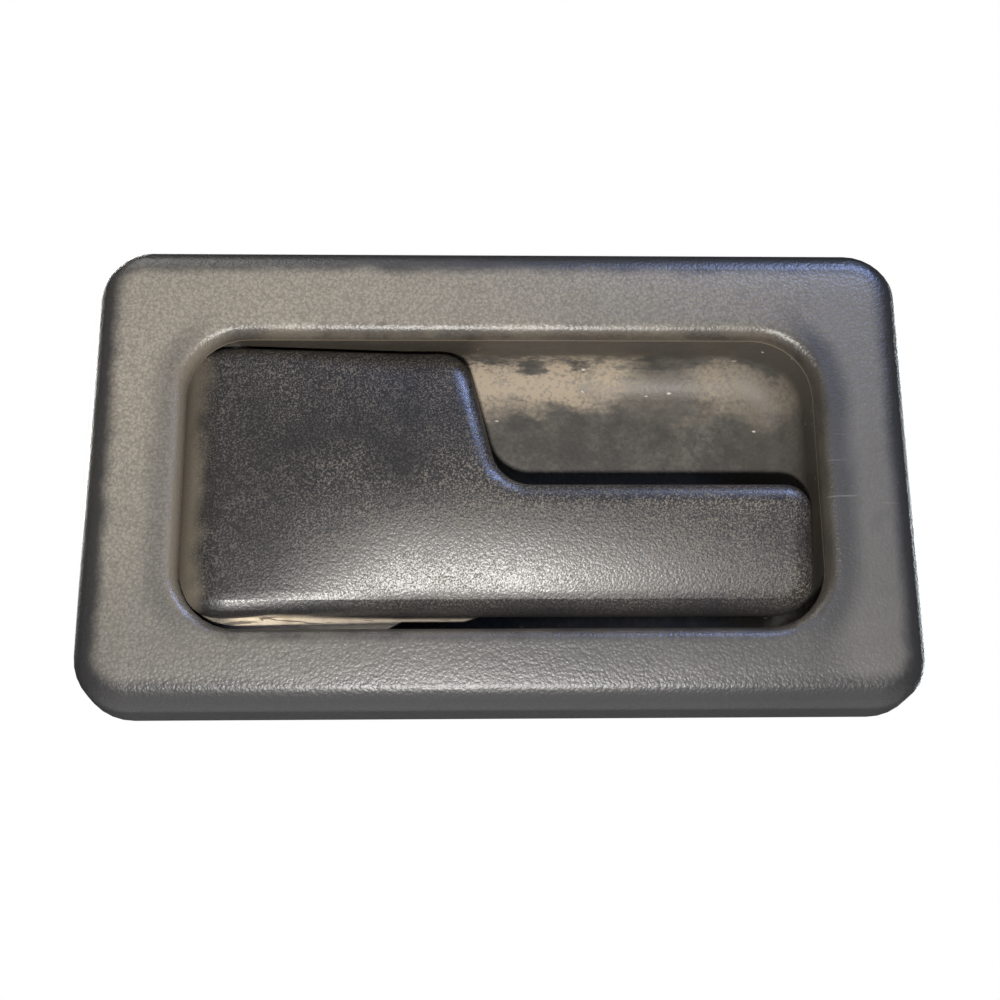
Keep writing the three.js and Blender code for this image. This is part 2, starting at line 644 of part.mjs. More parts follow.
// The lever seen from above, as an outline in XY: a thin grip, a deeper block and a round hub.
function leverSideShape() {
  const gripBack = leverFaceY + GRIP_THICKNESS;
  const shallow = leverFaceY + SKIRT_SHALLOW;
  const deep = leverFaceY + SKIRT_DEEP;
  const shape = new THREE.Shape();
  shape.moveTo(hinge.x, leverFaceY);
  shape.lineTo(leverRight + 1, leverFaceY);
  shape.lineTo(leverRight + 1, gripBack);
  shape.lineTo(stepX + 1, gripBack);
  shape.lineTo(stepX - 2, shallow);
  shape.lineTo(hinge.x + SKIRT_STEP, shallow);
  shape.lineTo(hinge.x + SKIRT_STEP - 1.5, deep);
  shape.lineTo(hinge.x + 7, deep);
  const cheek = boreRadius + CHEEK_WALL;
  shape.lineTo(hinge.x + cheek, hinge.y + cheek);
  shape.lineTo(hinge.x - cheek, hinge.y + cheek);
  const past = Math.PI - 0.35; // the hub's round stops a little past its leftmost point
  shape.lineTo(hinge.x + HUB_RADIUS * Math.cos(past), hinge.y + HUB_RADIUS * Math.sin(past));
  shape.absarc(hinge.x, hinge.y, HUB_RADIUS, past, 1.5 * Math.PI, false);
  return shape;
}

// The lip stands below the lever's lower edge and follows the window,
// high at the hinge and low towards the step.
function makeLip() {
  const front = leverFaceY + LEVER_ROLL_DEPTH;
  const left = -windowX - OVERCUT;
  const fullEnd = hinge.x + LIP_FULL_END;
  const low = leverBottom - LIP_LOW;
  const root = leverBottom + LEVER_WALL / 2;
  const limits = [
    [left, -windowZ - OVERCUT, 0.3],
    [fullEnd, -windowZ - OVERCUT, 0.3],
    [fullEnd + LIP_TAPER, low, 0.3],
    [stepX - LIP_END, low, 0.3],
    [stepX, leverBottom + 0.1, 0.3],
    [stepX, root, 0.3],
    [left, root, 0.3],
  ];
  const following = prism(insetCorners(windowCorners, LIP_CLEARANCE), front, front + LIP_THICKNESS);
  const lip = following.intersect(prism(limits, front - OVERCUT, front + LIP_THICKNESS + OVERCUT));
  const washerRoom = uprightCylinder(WASHER_RADIUS + GAP, hinge.x, hinge.y, -cupZ - OVERCUT, leverBottom);
  return lip.subtract(washerRoom);
}

function makeLever() {
  const back = hinge.y + HUB_RADIUS;
  const planOuter = loft(rolledRings(leverCorners, leverFaceY, LEVER_ROLL, LEVER_ROLL_DEPTH, back));
  const outer = planOuter.intersect(plate(leverSideShape(), leverBottom - OVERCUT, leverTop + OVERCUT));

  const planInner = prism(insetCorners(leverCorners, LEVER_WALL), leverFaceY, back + 1);
  const hubInner = HUB_RADIUS - LEVER_WALL;
  const insideShape = new THREE.Shape();
  insideShape.moveTo(hinge.x, leverFaceY + LEVER_WALL);
  insideShape.lineTo(stepX - 2.5, leverFaceY + LEVER_WALL);
  insideShape.lineTo(stepX - 2.5, back);
  insideShape.lineTo(hinge.x - hubInner, back);
  insideShape.lineTo(hinge.x - hubInner, hinge.y);
  insideShape.absarc(hinge.x, hinge.y, hubInner, Math.PI, 1.5 * Math.PI, false);
  const hollow = planInner.intersect(plate(insideShape, leverBottom, leverTop));
  const block = outer.subtract(hollow);

  const inner = leverFaceY + LEVER_WALL - 0.5;
  const webX = hinge.x + WEB_START;
  const web = box(webX, webX + CRANK_TAIL, inner, hinge.y + 2.5, webLow, webHigh);
  const restRib = box(
    restPost.x - 4,
    restPost.x + 4,
    inner,
    leverFaceY + SKIRT_SHALLOW,
    restPost.z - 1.2,
    restPost.z + 1.2,
  );
  const ribZ = leverBottom + GRIP_HEIGHT / 2;
  const gripRib = box(
    stepX - 6,
    leverRight - 8,
    leverFaceY + GRIP_THICKNESS - 0.5,
    leverFaceY + SKIRT_SHALLOW,
    ribZ - 1.2,
    ribZ + 1.2,
  );
  const bore = uprightCylinder(boreRadius, hinge.x, hinge.y, leverBottom - OVERCUT, leverTop + OVERCUT);
  const rivets = rivetPlaces.map((x) => rivetHole(x, webLow, webHigh));
  return cut(union(block, web, restRib, gripRib, makeLip()), bore, ...rivets);
}

// ---------------------------------------------------------------- crank arm and its rivets
const rivetY = hinge.y - 1;
const rivetPlaces = [hinge.x + 11, hinge.x + 21];
const rivetHole = (x, z0, z1) => uprightCylinder(RIVET_RADIUS + GAP, x, rivetY, z0 - OVERCUT, z1 + OVERCUT);

// A pressed steel L in the XY plane: a foot along the lever's web and an arm that reaches back to the rod.
function makeCrank() {
  const half = CRANK_WIDTH / 2;
  const footFront = rivetY - CRANK_FOOT / 2;
  const footBack = rivetY + CRANK_FOOT / 2;
  const footEnd = hinge.x + WEB_START + CRANK_TAIL - 1;
  const shape = new THREE.Shape();
  shape.moveTo(footEnd, footFront);
  shape.lineTo(footEnd, footBack);
  shape.lineTo(hinge.x + half + 2, footBack);
  shape.lineTo(hinge.x + half, footBack + 3);
  shape.lineTo(eye.x + half, eye.y);
  shape.absarc(eye.x, eye.y, half, 0, Math.PI, false);
  shape.lineTo(hinge.x - hubRoom, hinge.y);
  shape.absarc(hinge.x, hinge.y, hubRoom, Math.PI, 1.5 * Math.PI, false);
  shape.lineTo(hinge.x + half + 2, footFront);
  const bore = uprightCylinder(boreRadius, hinge.x, hinge.y, crankLow - OVERCUT, crankHigh + OVERCUT);
  const eyeHole = uprightCylinder(EYE_RADIUS, eye.x, eye.y, crankLow - OVERCUT, crankHigh + OVERCUT);
  const rivets = rivetPlaces.map((x) => rivetHole(x, crankLow, crankHigh));
  return cut(plate(shape, crankLow, crankHigh), bore, eyeHole, ...rivets);
}

function makeRivet(x) {
  const top = crankHigh + GAP;
  const bottom = webLow - GAP;
  return union(
    uprightCylinder(RIVET_RADIUS, x, rivetY, bottom, top, SMALL_SIDES),
    uprightCylinder(RIVET_HEAD_RADIUS, x, rivetY, top - 0.02, top + RIVET_HEAD_HEIGHT, SMALL_SIDES),
    uprightCylinder(RIVET_HEAD_RADIUS, x, rivetY, bottom - RIVET_HEAD_HEIGHT, bottom + 0.02, SMALL_SIDES),
  );
}

// ---------------------------------------------------------------- rod clip
// A nylon clip that turns in the crank's eye and snaps round the latch rod.
function makeRodClip() {
  const headLow = crankHigh + GAP;
  const collarHigh = crankLow - GAP;
  const jawHigh = collarHigh - 1.5;
  const jawLow = jawHigh - 2 * ROD_RADIUS - 2.4;
  const head = uprightCylinder(EYE_RADIUS + 1, eye.x, eye.y, headLow, headLow + 1.4, SMALL_SIDES);
  const stem = uprightCylinder(EYE_RADIUS - GAP, eye.x, eye.y, collarHigh - 0.1, headLow + 0.1, SMALL_SIDES);
  const collar = uprightCylinder(CLIP_COLLAR_RADIUS, eye.x, eye.y, jawHigh - 0.1, collarHigh, SMALL_SIDES);
  const half = ROD_RADIUS + 1.6;
  const jaw = box(eye.x - CLIP_LENGTH, eye.x + half, eye.y - half, eye.y + half, jawLow, jawHigh);
  const rodZ = jawHigh - 1.2 - ROD_RADIUS;
  const rodHole = solid(
    new THREE.CylinderGeometry(ROD_RADIUS + GAP, ROD_RADIUS + GAP, CLIP_LENGTH + 20, SMALL_SIDES)
      .rotateZ(Math.PI / 2)
      .translate(eye.x, eye.y, rodZ),
  );
  const throat = box(eye.x - CLIP_LENGTH - 1, eye.x - 1, eye.y, eye.y + half + 1, rodZ - 1.1, rodZ + 1.1);
  return union(head, stem, collar, cut(jaw, rodHole, throat));
}

piece(lever, "lever_shell", makeLever(), materials.lever);
piece(lever, "return_spring", makeSpring(), materials.steel, [hinge.x, hinge.y, 0]);
piece(lever, "crank_arm", makeCrank(), materials.zinc, [hinge.x, hinge.y, CRANK_LEVEL]);
rivetPlaces.forEach((x, i) =>
  piece(lever, `crank_rivet_${i + 1}`, makeRivet(x), materials.steel, [x, rivetY, CRANK_LEVEL]),
);
piece(lever, "rod_clip", makeRodClip(), materials.nylon, [eye.x, eye.y, CRANK_LEVEL]);

export default handle;
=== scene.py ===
# %% [markdown]
# # A car door handle in Blender
# This lesson dresses a finished engineering model of an interior car door handle.
# The model brings every moulded and pressed piece in its real place and size, so
# the work here is the look: grained plastic, a worn lever, dusty corners, plated
# steel, and the light of one low lamp with two soft ones above.

import math

import bmesh
import bpy
from mathutils import Matrix, Vector


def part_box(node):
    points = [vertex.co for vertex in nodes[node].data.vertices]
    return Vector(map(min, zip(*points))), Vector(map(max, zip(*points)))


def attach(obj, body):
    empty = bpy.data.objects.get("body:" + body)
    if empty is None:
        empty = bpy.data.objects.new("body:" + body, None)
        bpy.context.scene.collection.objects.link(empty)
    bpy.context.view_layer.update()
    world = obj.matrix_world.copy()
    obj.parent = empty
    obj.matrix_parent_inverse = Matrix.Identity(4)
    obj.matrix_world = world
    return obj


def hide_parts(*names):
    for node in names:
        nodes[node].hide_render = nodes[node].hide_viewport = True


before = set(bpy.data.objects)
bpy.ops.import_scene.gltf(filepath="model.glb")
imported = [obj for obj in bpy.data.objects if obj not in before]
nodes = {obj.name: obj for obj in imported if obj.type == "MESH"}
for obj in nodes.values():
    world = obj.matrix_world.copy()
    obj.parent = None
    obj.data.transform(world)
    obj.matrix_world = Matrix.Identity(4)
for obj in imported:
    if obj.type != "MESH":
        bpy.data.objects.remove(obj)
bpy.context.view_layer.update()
MM = 0.001
print("pieces in the frame:", len(nodes))

# %% [markdown]
# ## The camera
# The handle is seen close up from a little below its middle, so its sides spread
# gently. A camera with a 50 mm lens at a measured place repeats that view. Its tilt
# comes from three angles, which Blender applies in X, Y, Z order.

# %% Camera
camera_data = bpy.data.cameras.new("camera")
camera_data.lens = 50.4
camera_data.sensor_width = 36.0
camera_data.clip_start = 0.01
camera = bpy.data.objects.new("camera", camera_data)
camera.location = (-0.00695, -0.2058, -0.05816)
camera.rotation_euler = (math.radians(105.47), math.radians(0.52), math.radians(-1.73))
bpy.context.scene.collection.objects.link(camera)
bpy.context.scene.camera = camera
print("camera distance in mm:", round(camera.location.length / MM))

# %% [markdown]
# ## Measures that several steps share
# Most sizes come from the frame. The bezel gives the outer edge, the lever gives its
# face, and the hinge pin gives the axis that the lever turns on. The window, the
# corners and the cup's depth are no piece's box, so their sizes are written here.

# %% Measures
bezel_low, bezel_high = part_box("bezel")
lever_low, lever_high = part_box("lever_shell")
pin_low, pin_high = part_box("hinge_pin")
half_length = bezel_high.x
half_height = (bezel_high.z - bezel_low.z) / 2
middle_z = (bezel_high.z + bezel_low.z) / 2
face_y = bezel_low.y
lever_y = lever_low.y
hinge_x = (pin_low.x + pin_high.x) / 2
hinge_y = (pin_low.y + pin_high.y) / 2
window_x, window_z = 47.2 * MM, 22.3 * MM
window_corner = 9 * MM
bezel_corner = 8.5 * MM
cup_floor = face_y + 17 * MM
seam_y = face_y + 2.75 * MM
print("bezel in mm:", round(2 * half_length / MM), "by", round(2 * half_height / MM))

# %% [markdown]
# ## Making a smooth copy of a moulded piece
# An engineering mesh is a set of loose flat triangles. For a moulding that catches
# the light, a copy is merged into one skin, its flat areas are joined, and it is cut
# into a fine grid. The grid gives the surface points that can then be moved to bow a
# face. The original stays untouched in the frame, hidden behind its copy.

# %% Helpers for smooth copies
def merged_copy(node_name):
    """A bmesh copy of a frame piece, merged, with each flat area as one face."""
    skin = bmesh.new()
    skin.from_mesh(nodes[node_name].data)
    bmesh.ops.remove_doubles(skin, verts=skin.verts, dist=0.005 * MM)
    bmesh.ops.dissolve_limit(
        skin, angle_limit=math.radians(0.2), verts=skin.verts[:], edges=skin.edges[:]
    )
    return skin


def slice_grid(skin, axis, start, stop, step):
    """Cuts the skin with evenly spaced planes across one axis."""
    place = start
    while place < stop:
        point = Vector((0, 0, 0))
        point[axis] = place
        normal = Vector((0, 0, 0))
        normal[axis] = 1
        bmesh.ops.bisect_plane(
            skin,
            geom=skin.verts[:] + skin.edges[:] + skin.faces[:],
            dist=0.002 * MM,
            plane_co=point,
            plane_no=normal,
        )
        place += step


def smooth_shading(piece, angle=32):
    """Smooth shading that still breaks at real corners."""
    for face in piece.data.polygons:
        face.use_smooth = True
    split = piece.modifiers.new("corners", "EDGE_SPLIT")
    split.split_angle = math.radians(angle)
    weighted = piece.modifiers.new("even normals", "WEIGHTED_NORMAL")
    weighted.weight = 80
    weighted.keep_sharp = True


def add_piece(name, skin, body, replaced):
    """Turns a bmesh into a piece that rides on a body and stands for frame pieces."""
    mesh = bpy.data.meshes.new(name)
    skin.to_mesh(mesh)
    skin.free()
    piece = bpy.data.objects.new(name, mesh)
    bpy.context.scene.collection.objects.link(piece)
    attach(piece, body)
    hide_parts(*replaced)
    print(name, "faces:", len(mesh.polygons))
    return piece


# %% [markdown]
# ## The bezel
# The bezel is one injection moulding. Moulders never leave such a frame dead flat: its
# bands bow slightly, so that the face turns over softly before the rounded rim, and
# the light slides along it in a soft streak. Each surface point is set back by an
# amount that grows towards the outer rim.

# %% Bezel
def rounded_distance(x, z, half_x, half_z, radius):
    """Distance from a rounded rectangle in the handle's plane; negative inside it."""
    out_x = max(abs(x) - half_x + radius, 0)
    out_z = max(abs(z) - half_z + radius, 0)
    inside = min(max(abs(x) - half_x + radius, abs(z) - half_z + radius), 0)
    return math.hypot(out_x, out_z) + inside - radius


bezel_skin = merged_copy("bezel")
slice_grid(bezel_skin, 0, -half_length + 2 * MM, half_length, 3 * MM)
slice_grid(bezel_skin, 2, bezel_low.z + 1.5 * MM, bezel_high.z, 2 * MM)
BEZEL_BOW = 0.9 * MM
BEZEL_BOW_WIDTH = 9 * MM
BOW_END = 1 * MM
BOW_FADE = 7 * MM
BOW_POWER = 2.4
for vert in bezel_skin.verts:
    level = vert.co.z - middle_z
    rim = -rounded_distance(vert.co.x, level, half_length, half_height, bezel_corner)
    share = max(0, 1 - rim / BEZEL_BOW_WIDTH)
    front = max(0, min(1, (-vert.co.y - BOW_END) / BOW_FADE))
    vert.co.y += BEZEL_BOW * share**BOW_POWER * front
bezel_piece = add_piece("bezel_moulding", bezel_skin, "housing", ["bezel"])
smooth_shading(bezel_piece)

# %% [markdown]
# ## The lever
# The lever's face is crowned: it stands highest along its middle and falls away
# towards its upper and lower edges. That curve decides where the light gathers, low
# on the grip. The whole thickness of the shell moves with the face, and the move
# fades out behind it. The lowest edge is brought forward again as a small lip and
# drawn up a little. The hinge end stays as it is, because it is already round.

# %% Lever
lever_skin = merged_copy("lever_shell")
slice_grid(lever_skin, 0, lever_low.x + 1.5 * MM, lever_high.x, 2.5 * MM)
slice_grid(lever_skin, 2, lever_low.z + 1 * MM, lever_high.z, 1.5 * MM)
CROWN_MIDDLE = 0.5 * MM
LEVER_EDGE = -20.2 * MM
CROWN_LOW, CROWN_HIGH = 4.2 * MM, 2.2 * MM
LOW_POWER = 1.7
SHELL = 3.2 * MM
FADE_DEPTH = 5.8 * MM
LIP_FORWARD = 0.7
HUB_END = 1 * MM
HUB_BLEND = 26 * MM
# Pairs of a level and how far points there are drawn up, both in mm.
LIFTS = [(-21.85, 0.0), (-20.9, 0.75), (-20.2, 1.1), (-14.0, 0.0)]


def lift_at(level):
    """How far a point near the lower edge is drawn up, read between the pairs of LIFTS."""
    for (low, first), (high, second) in zip(LIFTS, LIFTS[1:]):
        if low * MM <= level <= high * MM:
            share = (level / MM - low) / (high - low)
            return (first + share * (second - first)) * MM
    return 0.0


for vert in lever_skin.verts:
    drop = vert.co.z - CROWN_MIDDLE
    low_side = min(1, max(0, drop / (LEVER_EDGE - CROWN_MIDDLE))) ** LOW_POWER * CROWN_LOW
    high_side = (drop / (lever_high.z - CROWN_MIDDLE)) ** 2 * CROWN_HIGH
    sink = low_side if drop < 0 else high_side
    behind_shell = (vert.co.y - lever_y - SHELL) / FADE_DEPTH
    front = max(0, min(1, 1 - behind_shell))
    beyond_hub = max(0, min(1, (vert.co.x - hinge_x - HUB_END) / HUB_BLEND))
    lip = max(0, (LEVER_EDGE - vert.co.z) / (LEVER_EDGE - lever_low.z))
    vert.co.y += sink * front * beyond_hub * (1 - LIP_FORWARD * lip)
    vert.co.z += lift_at(vert.co.z) * beyond_hub
lever_piece = add_piece("lever_moulding", lever_skin, "lever", ["lever_shell"])
smooth_shading(lever_piece)

# %% [markdown]
# ## The housing
# The housing is the tray behind the bezel. Only its cup is seen from the front, a
# smooth bowl with soft turns into its floor, so a merged copy with smooth shading is
# enough.

# %% Housing
housing_skin = merged_copy("housing")
housing_piece = add_piece("housing_moulding", housing_skin, "housing", ["housing"])
smooth_shading(housing_piece)

# %% [markdown]
# ## The return spring
# A torsion spring is round wire wound round the pin, with a straight leg at each end.
# One circle makes all of it: it is extruded for the first leg, spun round the pin
# with a small rise at each step for the coil, and extruded again for the last leg.

# %% Spring
spring_low, spring_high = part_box("return_spring")
turns = 4.5
steps = 90
COIL_PITCH = 1.6
WIRE_WIDTH = 1.2
wire = (spring_high.z - spring_low.z) / (turns * COIL_PITCH + WIRE_WIDTH) * (WIRE_WIDTH / 2)
coil_radius = 4.35 * MM
leg = 9 * MM
spring_skin = bmesh.new()
start = Vector((hinge_x + leg, hinge_y + coil_radius, spring_low.z + wire))
facing_x = Matrix.Translation(start) @ Matrix.Rotation(math.pi / 2, 4, "Y")
section = bmesh.ops.create_circle(
    spring_skin, cap_ends=True, segments=12, radius=wire, matrix=facing_x
)
outer_end = list({face for vert in section["verts"] for face in vert.link_faces})
grown = bmesh.ops.extrude_face_region(spring_skin, geom=outer_end)
moved = [item for item in grown["geom"] if isinstance(item, bmesh.types.BMVert)]
bmesh.ops.translate(spring_skin, verts=moved, vec=(-leg, 0, 0))
tip = [item for item in grown["geom"] if isinstance(item, bmesh.types.BMFace)]
tip_edges = list({edge for face in tip for edge in face.edges})
tip_verts = list({vert for face in tip for vert in face.verts})
bmesh.ops.delete(spring_skin, geom=tip, context="FACES_ONLY")
wound = bmesh.ops.spin(
    spring_skin,
    geom=tip_verts + tip_edges,
    cent=(hinge_x, hinge_y, 0),
    axis=(0, 0, 1),
    dvec=(0, 0, turns * COIL_PITCH * MM / steps),
    angle=turns * 2 * math.pi,
    steps=steps,
    use_duplicate=False,
)
last_edges = [item for item in wound["geom_last"] if isinstance(item, bmesh.types.BMEdge)]
second_leg = bmesh.ops.extrude_edge_only(spring_skin, edges=last_edges)
leg_verts = [v for v in second_leg["geom"] if isinstance(v, bmesh.types.BMVert)]
bmesh.ops.translate(spring_skin, verts=leg_verts, vec=(leg, 0, 0))
leg_edges = [e for e in second_leg["geom"] if isinstance(e, bmesh.types.BMEdge)]
bmesh.ops.holes_fill(spring_skin, edges=leg_edges, sides=12)
bmesh.ops.recalc_face_normals(spring_skin, faces=spring_skin.faces)
spring_piece = add_piece("return_spring_wire", spring_skin, "lever", ["return_spring"])
smooth_shading(spring_piece, 50)

# %% [markdown]
# ## Smoothing the small pieces
# The pin, washers, screws, clips and nuts keep their frame meshes. A weld modifier
# joins their loose triangles, and the same split and weighted normals make the round
# ones look round while the folded sheet keeps its crisp edges.

# %% Small pieces
replaced_nodes = {"bezel", "lever_shell", "housing", "return_spring"}
small_pieces = [nodes[name] for name in sorted(nodes) if name not in replaced_nodes]
for piece in small_pieces:
    weld = piece.modifiers.new("weld", "WELD")
    weld.merge_threshold = 0.005 * MM
    smooth_shading(piece, 35)
print("small pieces:", len(small_pieces))

# %% [markdown]
# ## A small kit for procedural finishes
# Every finish below is a tree of shader nodes. Patterns use object coordinates,
# which are metres here, so a scale of 1000 makes a detail about a millimetre wide.

# %% Node kit
class Finish:
    """One procedural material, with its shader and object coordinates at hand."""

    def __init__(self, name):
        self.material = bpy.data.materials.new(name)
        self.material.use_nodes = True
        self.tree = self.material.node_tree
        self.shader = self.tree.nodes["Principled BSDF"]
        self.place = self.add("ShaderNodeTexCoord").outputs["Object"]
        split = self.add("ShaderNodeSeparateXYZ", Vector=self.place)
        self.x, self.y, self.z = split.outputs

    def add(self, kind, **values):
        node = self.tree.nodes.new(kind)
        for key, value in values.items():
            self.feed(node.inputs[key.replace("_", " ")], value)
        return node

    def feed(self, socket, value):
        if isinstance(value, bpy.types.NodeSocket):
            self.tree.links.new(value, socket)
        elif isinstance(value, tuple) and len(value) == 3 and socket.type == "RGBA":
            socket.default_value = (*value, 1)
        else:
            socket.default_value = value

    def calc(self, operation, first, second=0.0, clamp=False):
        node = self.tree.nodes.new("ShaderNodeMath")
        node.operation = operation
        node.use_clamp = clamp
        self.feed(node.inputs[0], first)
        self.feed(node.inputs[1], second)
        return node.outputs[0]

    def fade(self, value, start, stop):
        """0 before start, 1 after stop, with a soft turn at both."""
        node = self.tree.nodes.new("ShaderNodeMapRange")
        node.interpolation_type = "SMOOTHSTEP"
        for socket, number in zip(node.inputs[1:5], (start, stop, 0.0, 1.0)):
            socket.default_value = number
        self.feed(node.inputs[0], value)
        return node.outputs[0]

    def noise(self, scale, detail=3.0, rough=0.5, stretch=(1, 1, 1)):
        vector = self.place
        if stretch != (1, 1, 1):
            vector = self.add("ShaderNodeMapping", Vector=vector, Scale=stretch).outputs[0]
        node = self.add("ShaderNodeTexNoise", Vector=vector, Scale=scale)
        node.inputs["Detail"].default_value = detail
        node.inputs["Roughness"].default_value = rough
        return node.outputs["Fac"]

    def cells(self, scale, stretch=(1, 1, 1)):
        vector = self.place
        if stretch != (1, 1, 1):
            vector = self.add("ShaderNodeMapping", Vector=vector, Scale=stretch).outputs[0]
        node = self.tree.nodes.new("ShaderNodeTexVoronoi")
        self.feed(node.inputs["Vector"], vector)
        node.inputs["Scale"].default_value = scale
        return node

    def blend(self, amount, first, second):
        node = self.tree.nodes.new("ShaderNodeMix")
        node.data_type = "RGBA"
        self.feed(node.inputs["Factor"], amount)
        self.feed(node.inputs[6], first)
        self.feed(node.inputs[7], second)
        return node.outputs[2]

    def bump(self, height, distance, strength=1.0):
        node = self.tree.nodes.new("ShaderNodeBump")
        node.inputs["Distance"].default_value = distance
        node.inputs["Strength"].default_value = strength
        self.feed(node.inputs["Height"], height)
        self.feed(self.shader.inputs["Normal"], node.outputs[0])

    def outside(self, half_x, half_z, radius, centre_z=0.0):
        """Distance outside a rounded rectangle in the handle's plane, in metres."""
        level = self.calc("SUBTRACT", self.z, centre_z)
        out_x = self.calc("SUBTRACT", self.calc("ABSOLUTE", self.x), half_x - radius)
        out_z = self.calc("SUBTRACT", self.calc("ABSOLUTE", level), half_z - radius)
        clear_x = self.calc("MAXIMUM", out_x, 0.0)
        clear_z = self.calc("MAXIMUM", out_z, 0.0)
        squares = self.calc(
            "ADD",
            self.calc("MULTIPLY", clear_x, clear_x),
            self.calc("MULTIPLY", clear_z, clear_z),
        )
        inner = self.calc("MINIMUM", self.calc("MAXIMUM", out_x, out_z), 0.0)
        return self.calc("SUBTRACT", self.calc("ADD", self.calc("SQRT", squares), inner), radius)

    def leather(self, scale):
        """Height of a moulded leather grain, from 0 in its creases to 1 on its pebbles."""
        warp = self.add("ShaderNodeTexNoise", Vector=self.place, Scale=scale * 0.7)
        warp.inputs["Detail"].default_value = 2
        pushed = self.tree.nodes.new("ShaderNodeVectorMath")
        pushed.operation = "MULTIPLY_ADD"
        self.feed(pushed.inputs[0], warp.outputs["Color"])
        pushed.inputs[1].default_value = (0.9 / scale,) * 3
        self.feed(pushed.inputs[2], self.place)
        pebble = self.tree.nodes.new("ShaderNodeTexVoronoi")
        pebble.feature = "SMOOTH_F1"
        pebble.inputs["Scale"].default_value = scale
        pebble.inputs["Smoothness"].default_value = 0.35
        self.feed(pebble.inputs["Vector"], pushed.outputs[0])
        round_top = self.calc("SUBTRACT", 1.0, pebble.outputs["Distance"], clamp=True)
        fine = self.noise(scale * 2.3, 2.0, 0.6)
        return self.calc("ADD", round_top, self.calc("MULTIPLY", fine, 0.55))


def dress(piece, finish):
    piece.data.materials.clear()
    piece.data.materials.append(finish.material)


# %% [markdown]
# ## Grained plastic for the bezel
# The bezel is a grey moulding with a fine leather grain. It carries painted light towards
# the upper left and painted shade on its rim, so its flat bands look paler than the rim.
# It is brown with grime where the window's wall turns in, and crossed by fine light
# scratches. Distance from the rim and from the window places each of these, so they follow
# the shape.

# %% Bezel finish
trim = Finish("grained trim plastic")
trim_grain = trim.leather(1900)
fine = trim.noise(3200, 3.0, 0.6)
rim_outside = trim.outside(half_length, half_height, bezel_corner, middle_z)
rim_distance = trim.calc("MULTIPLY", rim_outside, -1.0)
window_distance = trim.outside(window_x, window_z, window_corner)
broad = trim.noise(28, 3.0, 0.6)
patches = trim.noise(140, 4.0, 0.65)
shade = trim.blend(trim.fade(broad, 0.35, 0.7), (0.058, 0.057, 0.057), (0.082, 0.080, 0.078))
shade = trim.blend(trim.fade(patches, 0.48, 0.70), shade, (0.040, 0.039, 0.039))
# Painted light: the bezel is paler towards the upper left, where a soft light falls.
upper_left_light = trim.calc("SUBTRACT", trim.z, trim.calc("MULTIPLY", trim.x, 0.5))
upper_left_light = trim.calc("ADD", upper_left_light, trim.calc("MULTIPLY", patches, 0.02))
upper_left_light_share = trim.calc("MULTIPLY", trim.fade(upper_left_light, -0.025, 0.060), 0.85)
shade = trim.blend(upper_left_light_share, shade, (0.290, 0.266, 0.226))
pores = trim.calc("MULTIPLY", trim.fade(fine, 0.48, 0.66), 0.35)
shade = trim.blend(pores, shade, (0.026, 0.025, 0.024))
# Painted shade: the creases of the grain are darker.
crease = trim.fade(trim_grain, 1.0, 0.6)
shade = trim.blend(trim.calc("MULTIPLY", crease, 0.3), shade, (0.030, 0.028, 0.026))
print(trim.material.name, "base nodes:", len(trim.tree.nodes))

# %% [markdown]
# ## Painted shade at the bezel's edges
# The rim and the turn into the window at its ends are darker than the flat bands: painted
# shade where the face turns away from the light. A patchy value added to each distance
# makes the dark edges ragged. The far end is a cooler grey.

# %% Bezel edges
ragged = trim.calc("MULTIPLY", patches, 0.0022)
rim_edge = trim.calc("ADD", rim_distance, ragged)
side = trim.fade(trim.calc("ABSOLUTE", trim.x), 42 * MM, 48 * MM)
right = trim.calc("ADD", 0.45, trim.calc("MULTIPLY", trim.fade(trim.x, -20 * MM, 30 * MM), 0.5))
# Painted shade beside the window's ends, where the face turns into the window; stronger on the
# right.
inner_edge = trim.fade(trim.calc("ADD", window_distance, ragged), 7.4 * MM, 3.8 * MM)
window_end_painted_shade = trim.calc("MULTIPLY", trim.calc("MULTIPLY", inner_edge, side), right)
far_side = trim.calc("MULTIPLY", trim.fade(trim.x, 44 * MM, 52 * MM), 0.5)
shade = trim.blend(far_side, shade, (0.120, 0.116, 0.112))
shade = trim.blend(window_end_painted_shade, shade, (0.040, 0.039, 0.040))
# Painted shade on the rim, where the face rolls away from the light.
rim_painted_shade = trim.calc("MULTIPLY", trim.fade(rim_edge, 6.8 * MM, 4.2 * MM), 0.92)
shade = trim.blend(rim_painted_shade, shade, (0.018, 0.018, 0.020))

# %% [markdown]
# ## Grime in the window, scratches and gloss
# Brown grime lies on the window's wall, paler at the hinge end and darker at the other.
# A pale line marks the seam where the housing begins. Thin scratches come from a noise
# stretched along one axis. The grain is a very shallow bump, and it also varies the gloss.

# %% Bezel wear
wall = trim.fade(trim.calc("ADD", window_distance, ragged), 3.2 * MM, 1.8 * MM)
grime = trim.blend(trim.fade(patches, 0.35, 0.65), (0.022, 0.018, 0.014), (0.066, 0.055, 0.041))
pale_side = trim.fade(trim.x, -40 * MM, -48 * MM)
grime = trim.blend(pale_side, grime, (0.135, 0.118, 0.092))
dark_side = trim.fade(trim.x, 40 * MM, 47 * MM)
grime = trim.blend(trim.calc("MULTIPLY", dark_side, 0.7), grime, (0.026, 0.022, 0.017))
shade = trim.blend(trim.calc("MULTIPLY", wall, 0.85), shade, grime)
seam = trim.fade(trim.y, seam_y - 0.55 * MM, seam_y - 0.1 * MM)
seam = trim.calc("MULTIPLY", seam, trim.fade(window_distance, 1.0 * MM, 0.3 * MM))
shade = trim.blend(trim.calc("MULTIPLY", seam, 0.7), shade, (0.20, 0.165, 0.12))
